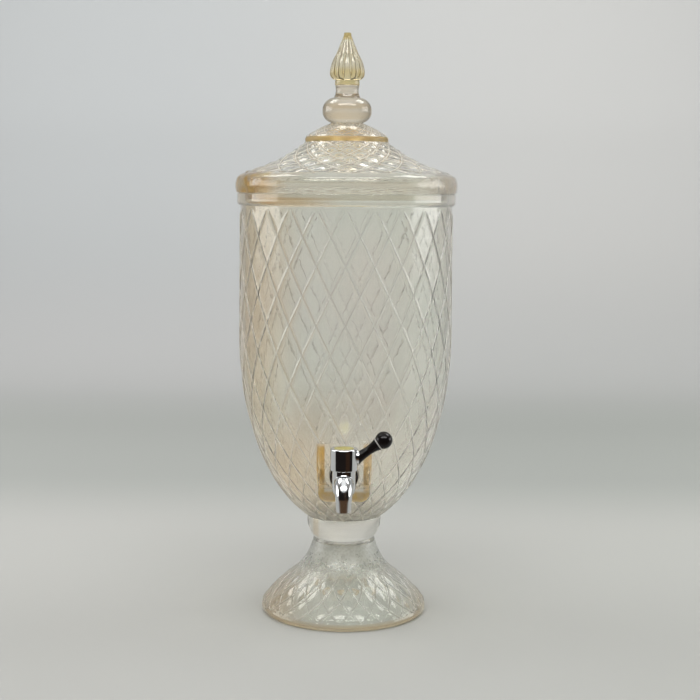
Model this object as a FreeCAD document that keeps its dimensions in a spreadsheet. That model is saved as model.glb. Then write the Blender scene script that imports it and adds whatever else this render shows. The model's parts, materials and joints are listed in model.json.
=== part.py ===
"""Footed glass drink dispenser with a lift-off lid and a quarter-turn tap.

Millimetres. Z is up and the floor is Z = 0. The origin is the centre of the foot's resting ring.
The tap faces -Y and its lever points to +X when the tap is closed.
"""

import FreeCAD, Part
import math
import os
from types import SimpleNamespace

import Sketcher

SIZES = {
    # How far a cutter runs past the piece it cuts
    "overcut": 1.0,
    # Pedestal, from the floor up
    "rest_outer_radius": 75.2,
    "rest_ring_width": 3.2,
    "rest_ring_height": 6.5,
    "rest_ring_draft": 1.6,
    "foot_radius": 77.0,
    "foot_widest_height": 4.2,
    "foot_lip_radius": 74.6,
    "foot_lip_height": 10.7,
    "foot_slope_radius": 64.1,
    "foot_slope_height": 22.5,
    "flare_radius": 51.4,
    "flare_height": 34.0,
    "trumpet_radius": 36.7,
    "trumpet_height": 49.4,
    "foot_neck_radius": 28.4,
    "foot_height": 70.7,
    "foot_wall": 5.0,
    "hollow_round": 5.0,
    "collar_height": 20.5,
    "collar_radius": 34.4,
    "collar_low_radius": 33.3,
    "collar_low_height": 7.8,
    # Vessel
    "vessel_height": 298.0,
    "glass_wall": 4.6,
    "body_radius": 97.7,
    "neck_radius": 97.0,
    "base_radius": 34.2,
    "belly_height": 167.0,
    "floor_thickness": 5.0,
    "stub_radius": 27.0,
    "stub_depth": 8.0,
    "stub_clearance": 0.3,
    "bead_height": 11.5,
    "bead_proud": 2.8,
    "bead_rise": 4.2,
    "bead_cove_in": 0.8,
    "bead_cove_rise": 1.6,
    "lip_round": 1.4,
    # Boss for the tap
    "boss_proud": 0.33,
    "boss_width": 45.4,
    "boss_above": 29.0,
    "boss_below": 23.5,
    "boss_corner": 8.0,
    "boss_edge_round": 5.0,
    "seat_radius": 17.0,
    "seat_thickness": 8.5,
    # Lid
    "lid_gap": 0.2,
    "lid_wall": 5.0,
    "lid_radius": 101.5,
    "rim_band_height": 13.0,
    "rim_band_bulge": 1.2,
    "rim_shoulder_in": 1.9,
    "rim_shoulder_rise": 3.0,
    "cone_foot_radius": 93.4,
    "cone_foot_height": 18.2,
    "cone_middle_radius": 62.9,
    "cone_middle_height": 29.2,
    "lid_bead_radius": 37.9,
    "lid_bead_root": 37.0,
    "lid_bead_low": 45.5,
    "lid_bead_thickness": 5.4,
    "dome_radius": 26.7,
    "dome_height": 57.4,
    "dome_hollow_radius": 9.0,
    "ring_depth": 6.0,
    "ring_width": 3.5,
    "ring_clearance": 1.0,
    "waist_radius": 14.4,
    "waist_height": 62.6,
    "knob_radius": 22.4,
    "knob_height": 23.6,
    "knob_shoulder_radius": 20.6,
    "knob_shoulder_rise": 6.6,
    "knob_neck_radius": 10.4,
    "knob_neck_height": 10.8,
    "neck_root_flare": 1.9,
    "neck_top_flare": 0.6,
    "socket_radius": 5.4,
    "socket_depth": 10.0,
    # Finial
    "spigot_clearance": 0.2,
    "spigot_gap": 0.5,
    "finial_height": 47.0,
    "finial_ring_radius": 11.2,
    "finial_ring_height": 4.6,
    "finial_radius": 15.9,
    "finial_belly": 11.5,
    "bud_radius": 14.8,
    "bud_low_height": 7.4,
    "bud_high_height": 17.7,
    "spear_radius": 10.2,
    "spear_height": 27.8,
    "finial_tip_radius": 3.3,
    "finial_tip_taper": 0.2,
    "finial_tip_height": 3.0,
    "flute_count": 12,
    "flute_radius": 1.5,
    "flute_depth": 1.1,
    "flute_run_out": 0.6,
    # Tap: body, shank and what clamps it
    "tap_rise": 52.3,
    "flange_radius": 11.9,
    "flange_thickness": 3.0,
    "conduit_radius": 9.8,
    "conduit_length": 19.5,
    "shank_radius": 7.9,
    "shank_spare": 4.5,
    "shank_clearance": 0.3,
    "waterway_radius": 4.8,
    "chamber_radius": 10.1,
    "chamber_round": 7.5,
    "chamber_top": 10.0,
    "chamber_floor": 4.2,
    "chamber_neck_radius": 9.2,
    "chamber_neck_top": 17.5,
    "spout_root_radius": 8.6,
    "spout_radius": 6.2,
    "spout_bend": 12.0,
    "spout_reach": 16.5,
    "spout_drop": 22.4,
    "outer_washer_radius": 12.3,
    "outer_washer_thickness": 2.5,
    "inner_washer_radius": 13.0,
    "inner_washer_thickness": 2.0,
    "clamp_washer_radius": 12.0,
    "clamp_washer_thickness": 1.0,
    "nut_across_flats": 24.0,
    "nut_thickness": 7.0,
    "thread_clearance": 0.05,
    # Valve
    "plug_radius": 6.95,
    "plug_clearance": 0.05,
    "plug_bottom": 8.8,
    "plug_shoulder": 9.5,
    "port_radius": 4.2,
    "seal_height": 6.9,
    "seal_cord_radius": 0.9,
    "seal_groove_spare": 0.1,
    "seal_fit": 0.02,
    "stem_radius": 4.3,
    "stem_clearance": 0.1,
    "stem_square": 5.9,
    "square_start": 20.0,
    "slip_gap": 0.1,
    "thrust_washer_thickness": 0.8,
    "bonnet_flats": 15.6,
    "bonnet_head": 1.2,
    # Handle
    "sleeve_radius": 12.0,
    "sleeve_round": 0.8,
    "sleeve_wall": 1.7,
    "sleeve_gap": 0.3,
    "web_low": 20.6,
    "web_thickness": 3.6,
    "square_clearance": 0.1,
    "handle_top": 29.3,
    "cap_ring_height": 2.3,
    "cap_ring_round": 1.1,
    "cap_skirt_depth": 1.8,
    "cap_skirt_width": 1.4,
    "cap_disc_radius": 8.4,
    "cap_disc_thickness": 0.9,
    "cap_disc_sunk": 0.2,
    "cap_ledge_width": 1.4,
    "cap_clearance": 0.1,
    "screw_head_radius": 3.7,
    "screw_head_height": 2.3,
    "screw_head_round": 1.4,
    "screw_radius": 1.9,
    "screw_length": 11.0,
    "screw_end_gap": 0.5,
    "screw_washer_radius": 4.8,
    "screw_washer_thickness": 0.6,
    "drive_across": 4.4,
    "drive_width": 0.9,
    "drive_depth": 1.1,
    # Lever
    "lever_root_height": 21.8,
    "lever_rise": 35.0,
    "lever_length": 25.7,
    "lever_root_radius": 5.3,
    "lever_root_flare": 0.6,
    "lever_waist_radius": 3.85,
    "lever_waist_at": 10.0,
    "lever_swell": 0.5,
    "lever_swell_at": 3.0,
    "lever_cup_radius": 5.7,
    "lever_cup_round": 0.7,
    "ball_radius": 7.5,
    "ball_fit": 0.05,
    "stud_radius": 2.0,
    "stud_short": 1.0,
    "tenon_radius": 2.4,
    "tenon_inset": 4.4,
    "tenon_gap": 0.1,
    "tenon_overlap": 1.0,
    "ferrule_radius": 6.3,
    "ferrule_proud": 0.8,
}

# How far the middle of a rounded square corner stands from the corner's two sides, per radius
BITE = 1 - math.sqrt(0.5)


class Size:
    """A length or ratio that knows both its number and the sheet formula that gives it."""

    def __init__(self, value, formula):
        self.value = value
        self.formula = formula

    def __add__(self, other):
        other = as_size(other)
        return Size(self.value + other.value, f"({self.formula} + {other.formula})")

    def __sub__(self, other):
        other = as_size(other)
        return Size(self.value - other.value, f"({self.formula} - {other.formula})")

    def __mul__(self, other):
        other = as_size(other)
        return Size(self.value * other.value, f"({self.formula} * {other.formula})")

    def __truediv__(self, other):
        other = as_size(other)
        return Size(self.value / other.value, f"({self.formula} / {other.formula})")

    def __radd__(self, other):
        return as_size(other) + self

    def __rsub__(self, other):
        return as_size(other) - self

    def __rmul__(self, other):
        return as_size(other) * self

    def __neg__(self):
        return as_size(-1) * self


def as_size(number):
    return number if isinstance(number, Size) else Size(float(number), repr(float(number)))


def root(size):
    return Size(math.sqrt(size.value), f"sqrt({size.formula})")


def cosine(degrees):
    return Size(math.cos(math.radians(degrees.value)), f"cos({degrees.formula} * 1deg)")


def sine(degrees):
    return Size(math.sin(math.radians(degrees.value)), f"sin({degrees.formula} * 1deg)")


def other_leg(hypotenuse, leg):
    """The third side of a right triangle."""
    return root(hypotenuse * hypotenuse - leg * leg)


doc = FreeCAD.newDocument("DrinkDispenser")
sheet = doc.addObject("Spreadsheet::Sheet", "Sizes")
for row, (alias, number) in enumerate(SIZES.items(), start=1):
    sheet.set(f"A{row}", alias)
    sheet.set(f"B{row}", str(number))
    sheet.setAlias(f"B{row}", alias)
doc.recompute()
d = SimpleNamespace(**{alias: Size(number, f"Sizes.{alias}") for alias, number in SIZES.items()})

# Heights and places that several pieces share
vessel_base = d.foot_height + d.collar_height
mouth_height = vessel_base + d.vessel_height
lid_base = mouth_height + d.lid_gap
knob_top = d.waist_height + d.knob_height
neck_top = knob_top + d.knob_neck_height
finial_base = lid_base + neck_top
tap_height = vessel_base + d.tap_rise
base_share = d.base_radius / d.body_radius
urn_drop = d.belly_height / root(1 - base_share * base_share)
boss_top_share = (d.belly_height - d.tap_rise - d.boss_above) / urn_drop
boss_reach = d.body_radius * root(1 - boss_top_share * boss_top_share) + d.boss_proud
tap_reach = boss_reach + d.outer_washer_thickness + d.conduit_length
shank_length = (
    d.outer_washer_thickness + d.seat_thickness + d.inner_washer_thickness
    + d.clamp_washer_thickness + d.nut_thickness + d.shank_spare
)
chamber_bore = d.plug_radius + d.plug_clearance
sleeve_bore = d.sleeve_radius - d.sleeve_wall
web_top = d.web_low + d.web_thickness
cap_seam = d.handle_top - d.cap_ring_height

finished = {}


def bind(thing, **formulas):
    """Ties properties to sizes; two underscores in a name stand for a dot."""
    for path, size in formulas.items():
        thing.setExpression(path.replace("__", "."), as_size(size).formula)


def move(thing, x=0, y=0, z=0):
    bind(thing, Placement__Base__x=x, Placement__Base__y=y, Placement__Base__z=z)


def finish(name, thing):
    """Names the finished piece."""
    thing.Label = name
    finished[name] = thing
    return thing


def new_body(name):
    return doc.addObject("PartDesign::Body", name + "_body")


def sketch_on(body, plane, lift=0):
    """A sketch on one of the body's own planes, lifted along that plane's normal.

    The XZ plane's normal is -Y and the YZ plane's normal is +X.
    """
    sketch = body.newObject("Sketcher::SketchObject", "Outline")
    support = [f for f in body.Origin.OriginFeatures if f.Role == plane][0]
    sketch.AttachmentSupport = [(support, "")]
    sketch.MapMode = "FlatFace"
    bind(sketch, AttachmentOffset__Base__z=lift)
    return sketch


def pin(sketch, edge, end, x, y):
    """Holds a point at x and y from the sketch's origin."""
    for kind, axis, place in (("DistanceX", -2, as_size(x)), ("DistanceY", -1, as_size(y))):
        if place.formula == "0.0":
            sketch.addConstraint(Sketcher.Constraint("PointOnObject", edge, end, axis))
        else:
            index = sketch.addConstraint(Sketcher.Constraint(kind, -1, 1, edge, end, place.value))
            sketch.setExpression(f"Constraints[{index}]", place.formula)


def vector(point):
    return FreeCAD.Vector(as_size(point[0]).value, as_size(point[1]).value, 0)


def upright_arc(start, middle, end):
    """An anticlockwise arc through three points, with the numbers of its first and last ends."""
    centre = Part.Circle(start, middle, end).Center
    anticlockwise = (middle - start).cross(end - middle).z > 0
    low, high = (start, end) if anticlockwise else (end, start)
    from_angle = math.atan2(low.y - centre.y, low.x - centre.x)
    to_angle = math.atan2(high.y - centre.y, high.x - centre.x)
    whole = Part.Circle(centre, FreeCAD.Vector(0, 0, 1), centre.distanceToPoint(start))
    arc = Part.ArcOfCircle(whole, from_angle, to_angle + (2 * math.pi if to_angle < from_angle else 0))
    return (arc, 1, 2) if anticlockwise else (arc, 2, 1)


def draw(sketch, points, closed=True):
    """Draws a chain of edges.

    An item is the next corner, or a pair: a point that an arc passes through and the arc's end.
    """
    here = points[0]
    chain = list(points[1:])
    arc_closes = isinstance(points[-1][0], tuple) and vector(points[-1][1]) == vector(points[0])
    if closed and not arc_closes:
        chain.append(points[0])
    ends = []
    for item in chain:
        is_arc = isinstance(item[0], tuple)
        middle, there = item if is_arc else (None, item)
        if is_arc:
            arc, first, last = upright_arc(vector(here), vector(middle), vector(there))
            edge = sketch.addGeometry(arc)
            dot = sketch.addGeometry(Part.Point(vector(middle)), True)
            sketch.addConstraint(Sketcher.Constraint("PointOnObject", dot, 1, edge))
            pin(sketch, dot, 1, *middle)
        else:
            edge = sketch.addGeometry(Part.LineSegment(vector(here), vector(there)))
            first, last = 1, 2
        if ends:
            sketch.addConstraint(Sketcher.Constraint("Coincident", *ends[-1][1], edge, first))
        pin(sketch, edge, first, *here)
        ends.append(((edge, first), (edge, last)))
        here = there
    if closed:
        sketch.addConstraint(Sketcher.Constraint("Coincident", *ends[-1][1], *ends[0][0]))
    else:
        pin(sketch, *ends[-1][1], *here)
    return sketch


def circle(sketch, radius, x=0, y=0):
    radius = as_size(radius)
    edge = sketch.addGeometry(Part.Circle(vector((x, y)), FreeCAD.Vector(0, 0, 1), radius.value))
    index = sketch.addConstraint(Sketcher.Constraint("Radius", edge, radius.value))
    sketch.setExpression(f"Constraints[{index}]", radius.formula)
    pin(sketch, edge, 3, x, y)
    return sketch


def spin(body, points, cut=False):
    """Turns an outline of (radius, height) points about the body's Z axis."""
    kind = "PartDesign::Groove" if cut else "PartDesign::Revolution"
    sketch = draw(sketch_on(body, "XZ_Plane"), points)
    turned = body.newObject(kind, "Turned")
    turned.Profile = sketch
    turned.ReferenceAxis = (sketch, ["V_Axis"])
    turned.Angle = 360
    return turned


def extrude(body, sketch, length, cut=False, backwards=False):
    kind = "PartDesign::Pocket" if cut else "PartDesign::Pad"
    made = body.newObject(kind, "Extruded")
    made.Profile = sketch
    bind(made, Length=length)
    made.Reversed = backwards
    return made


def follow(body, profile, path, cut=False):
    """Carries a profile along a path."""
    kind = "PartDesign::SubtractivePipe" if cut else "PartDesign::AdditivePipe"
    pipe = body.newObject(kind, "Carried")
    pipe.Profile = profile
    pipe.Spine = path
    return pipe


def ring(name, plane, outer, inner, thickness, start, place):
    """A flat washer on one of the body's planes, from start along that plane's normal."""
    body = new_body(name)
    sketch = circle(circle(sketch_on(body, plane, start), outer), inner)
    extrude(body, sketch, thickness)
    place(body)
    return finish(name, body)


def at_tap(thing):
    """Puts a tap piece in place; tap pieces are drawn from where barrel axis and shank axis cross."""
    move(thing, y=-tap_reach, z=tap_height)


def rounded(corner, radius, arriving, leaving):
    """Outline items that round off a square corner; both directions point away from the corner."""
    start = (corner[0] + radius * arriving[0], corner[1] + radius * arriving[1])
    middle = (
        corner[0] + radius * BITE * (arriving[0] + leaving[0]),
        corner[1] + radius * BITE * (arriving[1] + leaving[1]),
    )
    return [start, (middle, (corner[0] + radius * leaving[0], corner[1] + radius * leaving[1]))]


def inside(before, point, after, wall):
    """The point moved by a wall's thickness, square to and right of the way its neighbours run."""
    along, up = after[0] - before[0], after[1] - before[1]
    length = root(along * along + up * up)
    return point[0] + up / length * wall, point[1] - along / length * wall


def urn_arcs(widest, drop, last_angle, count):
    """Arcs up a quarter ellipse, as outline items, from last_angle below its widest place."""
    def point(share):
        angle = last_angle * share
        return widest * cosine(angle), d.belly_height - drop * sine(angle)

    shares = [1 - step / (2 * count) for step in range(1, 2 * count + 1)]
    return [(point(middle), point(end)) for middle, end in zip(shares[0::2], shares[1::2])]


def pedestal():
    """Hollow trumpet foot that rises to a rounded collar with a cup for the vessel's stub."""
    body = new_body("pedestal")
    neck = (d.foot_neck_radius, d.foot_height)
    trumpet = (d.trumpet_radius, d.trumpet_height)
    flare = (d.flare_radius, d.flare_height)
    slope = (d.foot_slope_radius, d.foot_slope_height)
    lip = (d.foot_lip_radius, d.foot_lip_height)
    rest_inner = d.rest_outer_radius - d.rest_ring_width
    hollow_top = d.foot_height - d.foot_wall
    cup_radius = d.stub_radius + d.stub_clearance
    cup_floor = vessel_base - d.stub_depth - d.stub_clearance
    spin(body, [
        (0, hollow_top),
        (0, cup_floor),
        (cup_radius, cup_floor),
        (cup_radius, vessel_base),
        *rounded((d.collar_radius, vessel_base), d.lip_round, (-1, 0), (0, -1)),
        ((d.collar_low_radius, d.foot_height + d.collar_low_height), neck),
        (trumpet, flare),
        (slope, lip),
        ((d.foot_radius, d.foot_widest_height), (d.rest_outer_radius, 0)),
        (rest_inner, 0),
        (rest_inner - d.rest_ring_draft, d.rest_ring_height),
        (inside(flare, slope, lip, d.foot_wall), inside(trumpet, flare, slope, d.foot_wall)),
        (inside(neck, trumpet, flare, d.foot_wall),
         (d.foot_neck_radius - d.foot_wall, hollow_top - d.hollow_round)),
        *rounded((d.foot_neck_radius - d.foot_wall, hollow_top), d.hollow_round, (0, -1), (-1, 0))[1:],
    ])
    return finish("pedestal", body)


def vessel():
    """Urn with a rim bead, a stub that sits in the collar and a flat boss for the tap."""
    body = new_body("vessel")
    base_angle = Size(
        math.degrees(math.acos(d.base_radius.value / d.body_radius.value)),
        "(acos(Sizes.base_radius / Sizes.body_radius) / 1deg)",
    )
    bead_low = d.vessel_height - d.bead_height
    bead_radius = d.neck_radius + d.bead_proud
    spin(body, [
        (0, -d.stub_depth),
        (d.stub_radius, -d.stub_depth),
        (d.stub_radius, 0),
        (d.base_radius, 0),
        *urn_arcs(d.body_radius, urn_drop, base_angle, 3),
        (d.neck_radius, bead_low),
        ((bead_radius - d.bead_cove_in, bead_low + d.bead_cove_rise),
         (bead_radius, bead_low + d.bead_rise)),
        *rounded((bead_radius, d.vessel_height), d.lip_round, (0, -1), (-1, 0)),
        (0, d.vessel_height),
    ])
    boss(body)
    inner_widest = d.body_radius - d.glass_wall
    inner_drop = urn_drop - d.glass_wall
    floor_rise = (d.belly_height - d.floor_thickness) / inner_drop
    floor_angle = Size(
        math.degrees(math.asin(floor_rise.value)), f"(asin({floor_rise.formula}) / 1deg)"
    )
    spin(body, [
        (0, d.floor_thickness),
        (inner_widest * cosine(floor_angle), d.floor_thickness),
        *urn_arcs(inner_widest, inner_drop, floor_angle, 3),
        (d.neck_radius - d.glass_wall, bead_low),
        (d.neck_radius - d.glass_wall, d.vessel_height + d.overcut),
        (0, d.vessel_height + d.overcut),
    ], cut=True)
    inner_seat = boss_reach - d.seat_thickness
    seat = circle(sketch_on(body, "XZ_Plane", inner_seat), d.seat_radius, y=d.tap_rise)
    extrude(body, seat, boss_reach / 2, cut=True)
    hole = circle(
        sketch_on(body, "XZ_Plane", boss_reach + d.overcut),
        d.shank_radius + d.shank_clearance, y=d.tap_rise,
    )
    extrude(body, hole, d.seat_thickness + 2 * d.overcut, cut=True)
    move(body, z=vessel_base)
    return finish("vessel", body)


def boss(body):
    """Flat upright pad, square above and round-cornered below, that runs out into the urn's wall."""
    half = d.boss_width / 2
    low = d.tap_rise - d.boss_below
    pad = extrude(body, draw(sketch_on(body, "XZ_Plane", boss_reach), [
        (-half, d.tap_rise + d.boss_above),
        *rounded((-half, low), d.boss_corner, (0, 1), (1, 0)),
        *rounded((half, low), d.boss_corner, (-1, 0), (0, 1)),
        (half, d.tap_rise + d.boss_above),
    ]), boss_reach / 2, backwards=True)
    doc.recompute()
    face_level = -boss_reach.value
    top_level = (d.tap_rise + d.boss_above).value
    edges = [
        f"Edge{number}" for number, edge in enumerate(pad.Shape.Edges, start=1)
        if all(abs(v.Point.y - face_level) < 1e-3 for v in edge.Vertexes)
        and abs(edge.CenterOfMass.y - face_level) < 1e-3 and edge.CenterOfMass.z < top_level - 1e-3
    ]
    softened = body.newObject("PartDesign::Fillet", "Softened")
    softened.Base = (pad, edges)
    bind(softened, Radius=d.boss_edge_round)


def lid():
    """Cone with a rim band, a bead, a small dome, a ball knob and a neck with the finial's socket."""
    body = new_body("lid")
    ring_outer = d.neck_radius - d.glass_wall - d.ring_clearance
    ring_inner = ring_outer - d.ring_width
    band_radius = d.lid_radius - d.rim_band_bulge
    bead_high = d.lid_bead_low + d.lid_bead_thickness
    cone_foot = (d.cone_foot_radius, d.cone_foot_height)
    cone_middle = (d.cone_middle_radius, d.cone_middle_height)
    cone_top = (d.lid_bead_root, d.lid_bead_low)
    dome = (d.dome_radius, d.dome_height)
    dome_top = (d.waist_radius, d.waist_height)
    knob_middle = d.waist_height + d.knob_height / 2
    ceiling = d.dome_height - d.lid_wall
    spin(body, [
        (0, ceiling),
        (0, neck_top - d.socket_depth),
        (d.socket_radius, neck_top - d.socket_depth),
        (d.socket_radius, neck_top),
        (d.knob_neck_radius + d.neck_top_flare, neck_top),
        ((d.knob_neck_radius, (neck_top + knob_top) / 2),
         (d.knob_neck_radius + d.neck_root_flare, knob_top)),
        ((d.knob_shoulder_radius, knob_middle + d.knob_shoulder_rise), (d.knob_radius, knob_middle)),
        ((d.knob_shoulder_radius, knob_middle - d.knob_shoulder_rise), dome_top),
        (dome, (d.lid_bead_root, bead_high)),
        ((d.lid_bead_radius, d.lid_bead_low + d.lid_bead_thickness / 2), cone_top),
        (cone_middle, cone_foot),
        ((band_radius - d.rim_shoulder_in, d.rim_band_height + d.rim_shoulder_rise),
         (band_radius, d.rim_band_height)),
        ((d.lid_radius, d.rim_band_height / 2), (band_radius, 0)),
        (ring_outer, 0),
        (ring_outer, -d.ring_depth),
        (ring_inner, -d.ring_depth),
        (ring_inner, d.cone_foot_height - d.lid_wall),
        (inside(cone_top, cone_middle, cone_foot, d.lid_wall),
         inside(dome_top, cone_top, cone_foot, d.lid_wall)),
        (d.dome_hollow_radius, ceiling),
    ])
    move(body, z=lid_base)
    return finish("lid", body)


def finial():
    """Fluted spear on a plain ring, with a spigot that is bonded into the knob's neck."""
    body = new_body("finial")
    spigot_radius = d.socket_radius - d.spigot_clearance
    tip_low = d.finial_height - d.finial_tip_height
    spin(body, [
        (0, -(d.socket_depth - d.spigot_gap)),
        (spigot_radius, -(d.socket_depth - d.spigot_gap)),
        (spigot_radius, 0),
        (d.finial_ring_radius, 0),
        (d.finial_ring_radius, d.finial_ring_height),
        ((d.bud_radius, d.bud_low_height), (d.finial_radius, d.finial_belly)),
        ((d.bud_radius, d.bud_high_height), (d.spear_radius, d.spear_height)),
        (d.finial_tip_radius + d.finial_tip_taper, tip_low),
        (d.finial_tip_radius, d.finial_height),
        (0, d.finial_height),
    ])
    out = d.flute_radius - d.flute_depth
    start = (d.finial_tip_radius + d.flute_radius, tip_low)
    path = draw(sketch_on(body, "XZ_Plane"), [
        start,
        (d.spear_radius + out, d.spear_height),
        ((d.bud_radius + out, d.bud_high_height), (d.finial_radius + out, d.finial_belly)),
        ((d.bud_radius + out, d.bud_low_height),
         (d.finial_ring_radius + out + d.flute_run_out, d.finial_ring_height)),
    ], closed=False)
    cutter = circle(sketch_on(body, "XY_Plane", start[1]), d.flute_radius, x=start[0])
    flute = follow(body, cutter, path, cut=True)
    around = body.newObject("PartDesign::PolarPattern", "Flutes")
    around.Originals = [flute]
    around.Axis = (path, ["V_Axis"])
    around.Angle = 360
    bind(around, Occurrences=d.flute_count)
    body.Tip = around
    move(body, z=finial_base)
    return finish("finial", body)


def tap_body():
    """Chrome body: valve chamber, conduit, flange and shank behind, curved spout in front."""
    body = new_body("tap_body")
    bottom = d.plug_bottom + d.slip_gap
    under = bottom + d.chamber_floor
    spin(body, [
        (0, -under),
        *rounded((d.chamber_radius, -under), d.chamber_round, (-1, 0), (0, 1)),
        (d.chamber_radius, d.chamber_top),
        (d.chamber_neck_radius, d.chamber_top),
        (d.chamber_neck_radius, d.chamber_neck_top),
        (0, d.chamber_neck_top),
    ])
    for radius, start, length in (
        (d.conduit_radius, as_size(0), d.conduit_length),
        (d.flange_radius, d.conduit_length - d.flange_thickness, d.flange_thickness),
        (d.shank_radius, d.conduit_length, shank_length),
    ):
        extrude(body, circle(sketch_on(body, "XZ_Plane", -start), radius), length, backwards=True)
    bend_start = d.spout_reach - d.spout_bend
    corner = d.spout_bend * BITE

    def spout_path(overrun):
        return draw(sketch_on(body, "YZ_Plane"), [
            (-bend_start, 0),
            ((corner - d.spout_reach, -corner), (-d.spout_reach, -d.spout_bend)),
            (-d.spout_reach, -(d.spout_drop + overrun)),
        ], closed=False)

    spout = follow(body, circle(sketch_on(body, "XZ_Plane", bend_start), d.spout_root_radius), spout_path(0))
    spout.Sections = [circle(sketch_on(body, "XY_Plane", -d.spout_drop), d.spout_radius, y=-d.spout_reach)]
    spout.Transformation = "Multisection"
    chamber = circle(sketch_on(body, "XY_Plane", -bottom), chamber_bore)
    extrude(body, chamber, bottom + d.chamber_neck_top + d.overcut, cut=True, backwards=True)
    inlet = circle(sketch_on(body, "XZ_Plane"), d.waterway_radius)
    extrude(body, inlet, d.conduit_length + shank_length + d.overcut, cut=True)
    outlet = circle(sketch_on(body, "XZ_Plane", bend_start), d.waterway_radius)
    follow(body, outlet, spout_path(d.overcut), cut=True)
    at_tap(body)
    return finish("tap_body", body)


def clamping():
    """Washers and nut that clamp the shank to the glass; all lie behind the flange."""
    start = d.conduit_length
    stack = (
        ("outer_washer", d.outer_washer_radius, d.outer_washer_thickness, 0),
        ("inner_washer", d.inner_washer_radius, d.inner_washer_thickness, d.seat_thickness),
        ("clamp_washer", d.clamp_washer_radius, d.clamp_washer_thickness, 0),
    )
    for name, radius, thickness, skipped in stack:
        start = start + skipped + thickness
        ring(name, "XZ_Plane", radius, d.shank_radius + d.thread_clearance, thickness, -start, at_tap)
    hexagon("shank_nut", "XZ_Plane", d.nut_across_flats, d.shank_radius + d.thread_clearance,
            d.nut_thickness, -(start + d.nut_thickness), at_tap)


def hexagon(name, plane, across_flats, bore, thickness, start, place, neck=None):
    """A hexagon nut; neck adds a round threaded part below it, as (radius, length)."""
    body = new_body(name)
    corner = across_flats / math.sqrt(3)
    corners = [
        (corner * math.cos(math.radians(60 * turn + 30)), corner * math.sin(math.radians(60 * turn + 30)))
        for turn in range(6)
    ]
    extrude(body, draw(sketch_on(body, plane, start), corners), thickness)
    if neck:
        extrude(body, circle(sketch_on(body, plane, start), neck[0]), neck[1], backwards=True)
    doc.recompute()
    hole = circle(sketch_on(body, plane, start + thickness + d.overcut), bore)
    extrude(body, hole, thickness + 2 * d.overcut + (neck[1] if neck else 0), cut=True)
    place(body)
    return finish(name, body)


def bonnet():
    """The washer and the ring nut that hold the plug down in its chamber."""
    washer_start = d.plug_shoulder + d.slip_gap
    ring("thrust_washer", "XY_Plane", d.plug_radius, d.stem_radius + d.stem_clearance,
         d.thrust_washer_thickness, washer_start, at_tap)
    neck_start = washer_start + d.thrust_washer_thickness
    hexagon("bonnet_nut", "XY_Plane", d.bonnet_flats, d.stem_radius + d.stem_clearance,
            d.bonnet_head, d.chamber_neck_top, at_tap, neck=(d.plug_radius, d.chamber_neck_top - neck_start))


def valve_plug():
    """Round plug with two seal grooves, a cross port and a stem that ends in a square."""
    body = new_body("valve_plug")
    groove_floor = d.plug_radius - 2 * d.seal_cord_radius
    groove_half = d.seal_cord_radius + d.seal_groove_spare

    def groove(height):
        return [
            (d.plug_radius, height - groove_half), (groove_floor, height - groove_half),
            (groove_floor, height + groove_half), (d.plug_radius, height + groove_half),
        ]

    spin(body, [
        (0, -d.plug_bottom),
        (d.plug_radius, -d.plug_bottom),
        *groove(-d.seal_height),
        *groove(d.seal_height),
        (d.plug_radius, d.plug_shoulder),
        (d.stem_radius, d.plug_shoulder),
        (d.stem_radius, d.square_start),
        (0, d.square_start),
    ])
    half = d.stem_square / 2
    square = [(-half, -half), (half, -half), (half, half), (-half, half)]
    extrude(body, draw(sketch_on(body, "XY_Plane", d.square_start), square), web_top - d.square_start)
    port = circle(sketch_on(body, "YZ_Plane", -d.plug_radius - d.overcut), d.port_radius)
    extrude(body, port, 2 * (d.plug_radius + d.overcut), cut=True, backwards=True)
    thread = circle(sketch_on(body, "XY_Plane", web_top + d.overcut), d.screw_radius + d.thread_clearance)
    extrude(body, thread, d.screw_length + d.overcut, cut=True)
    at_tap(body)
    return finish("valve_plug", body)


def seal(name, height):
    """An O-ring in one of the plug's grooves."""
    torus = doc.addObject("Part::Torus", name + "_torus")
    cord = d.seal_cord_radius - d.seal_fit
    bind(torus, Radius1=d.plug_radius - d.seal_cord_radius - d.seal_fit, Radius2=cord)
    move(torus, y=-tap_reach, z=tap_height + height)
    return finish(name, torus)


def handle_sleeve():
    """Chrome barrel with a cross web that takes the stem's square, and a hole for the lever."""
    body = new_body("handle_sleeve")
    low = d.chamber_top + d.sleeve_gap
    spin(body, [
        (0, low),
        *rounded((d.sleeve_radius, low), d.sleeve_round, (-1, 0), (0, 1)),
        (d.sleeve_radius, cap_seam),
        (0, cap_seam),
    ])
    below = circle(sketch_on(body, "XY_Plane", d.web_low), sleeve_bore)
    extrude(body, below, d.web_low, cut=True)
    above = circle(sketch_on(body, "XY_Plane", web_top), sleeve_bore)
    extrude(body, above, d.handle_top, cut=True, backwards=True)
    half = d.stem_square / 2 + d.square_clearance
    square = [(-half, -half), (half, -half), (half, half), (-half, half)]
    hole = draw(sketch_on(body, "XY_Plane", web_top + d.overcut), square)
    extrude(body, hole, d.web_thickness + 2 * d.overcut, cut=True)
    tenon_hole = circle(
        sketch_on(body, "YZ_Plane", d.sleeve_radius - d.tenon_inset),
        d.tenon_radius + d.thread_clearance, y=d.lever_root_height,
    )
    extrude(body, tenon_hole, d.sleeve_radius, cut=True, backwards=True)
    at_tap(body)
    return finish("handle_sleeve", body)


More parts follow.
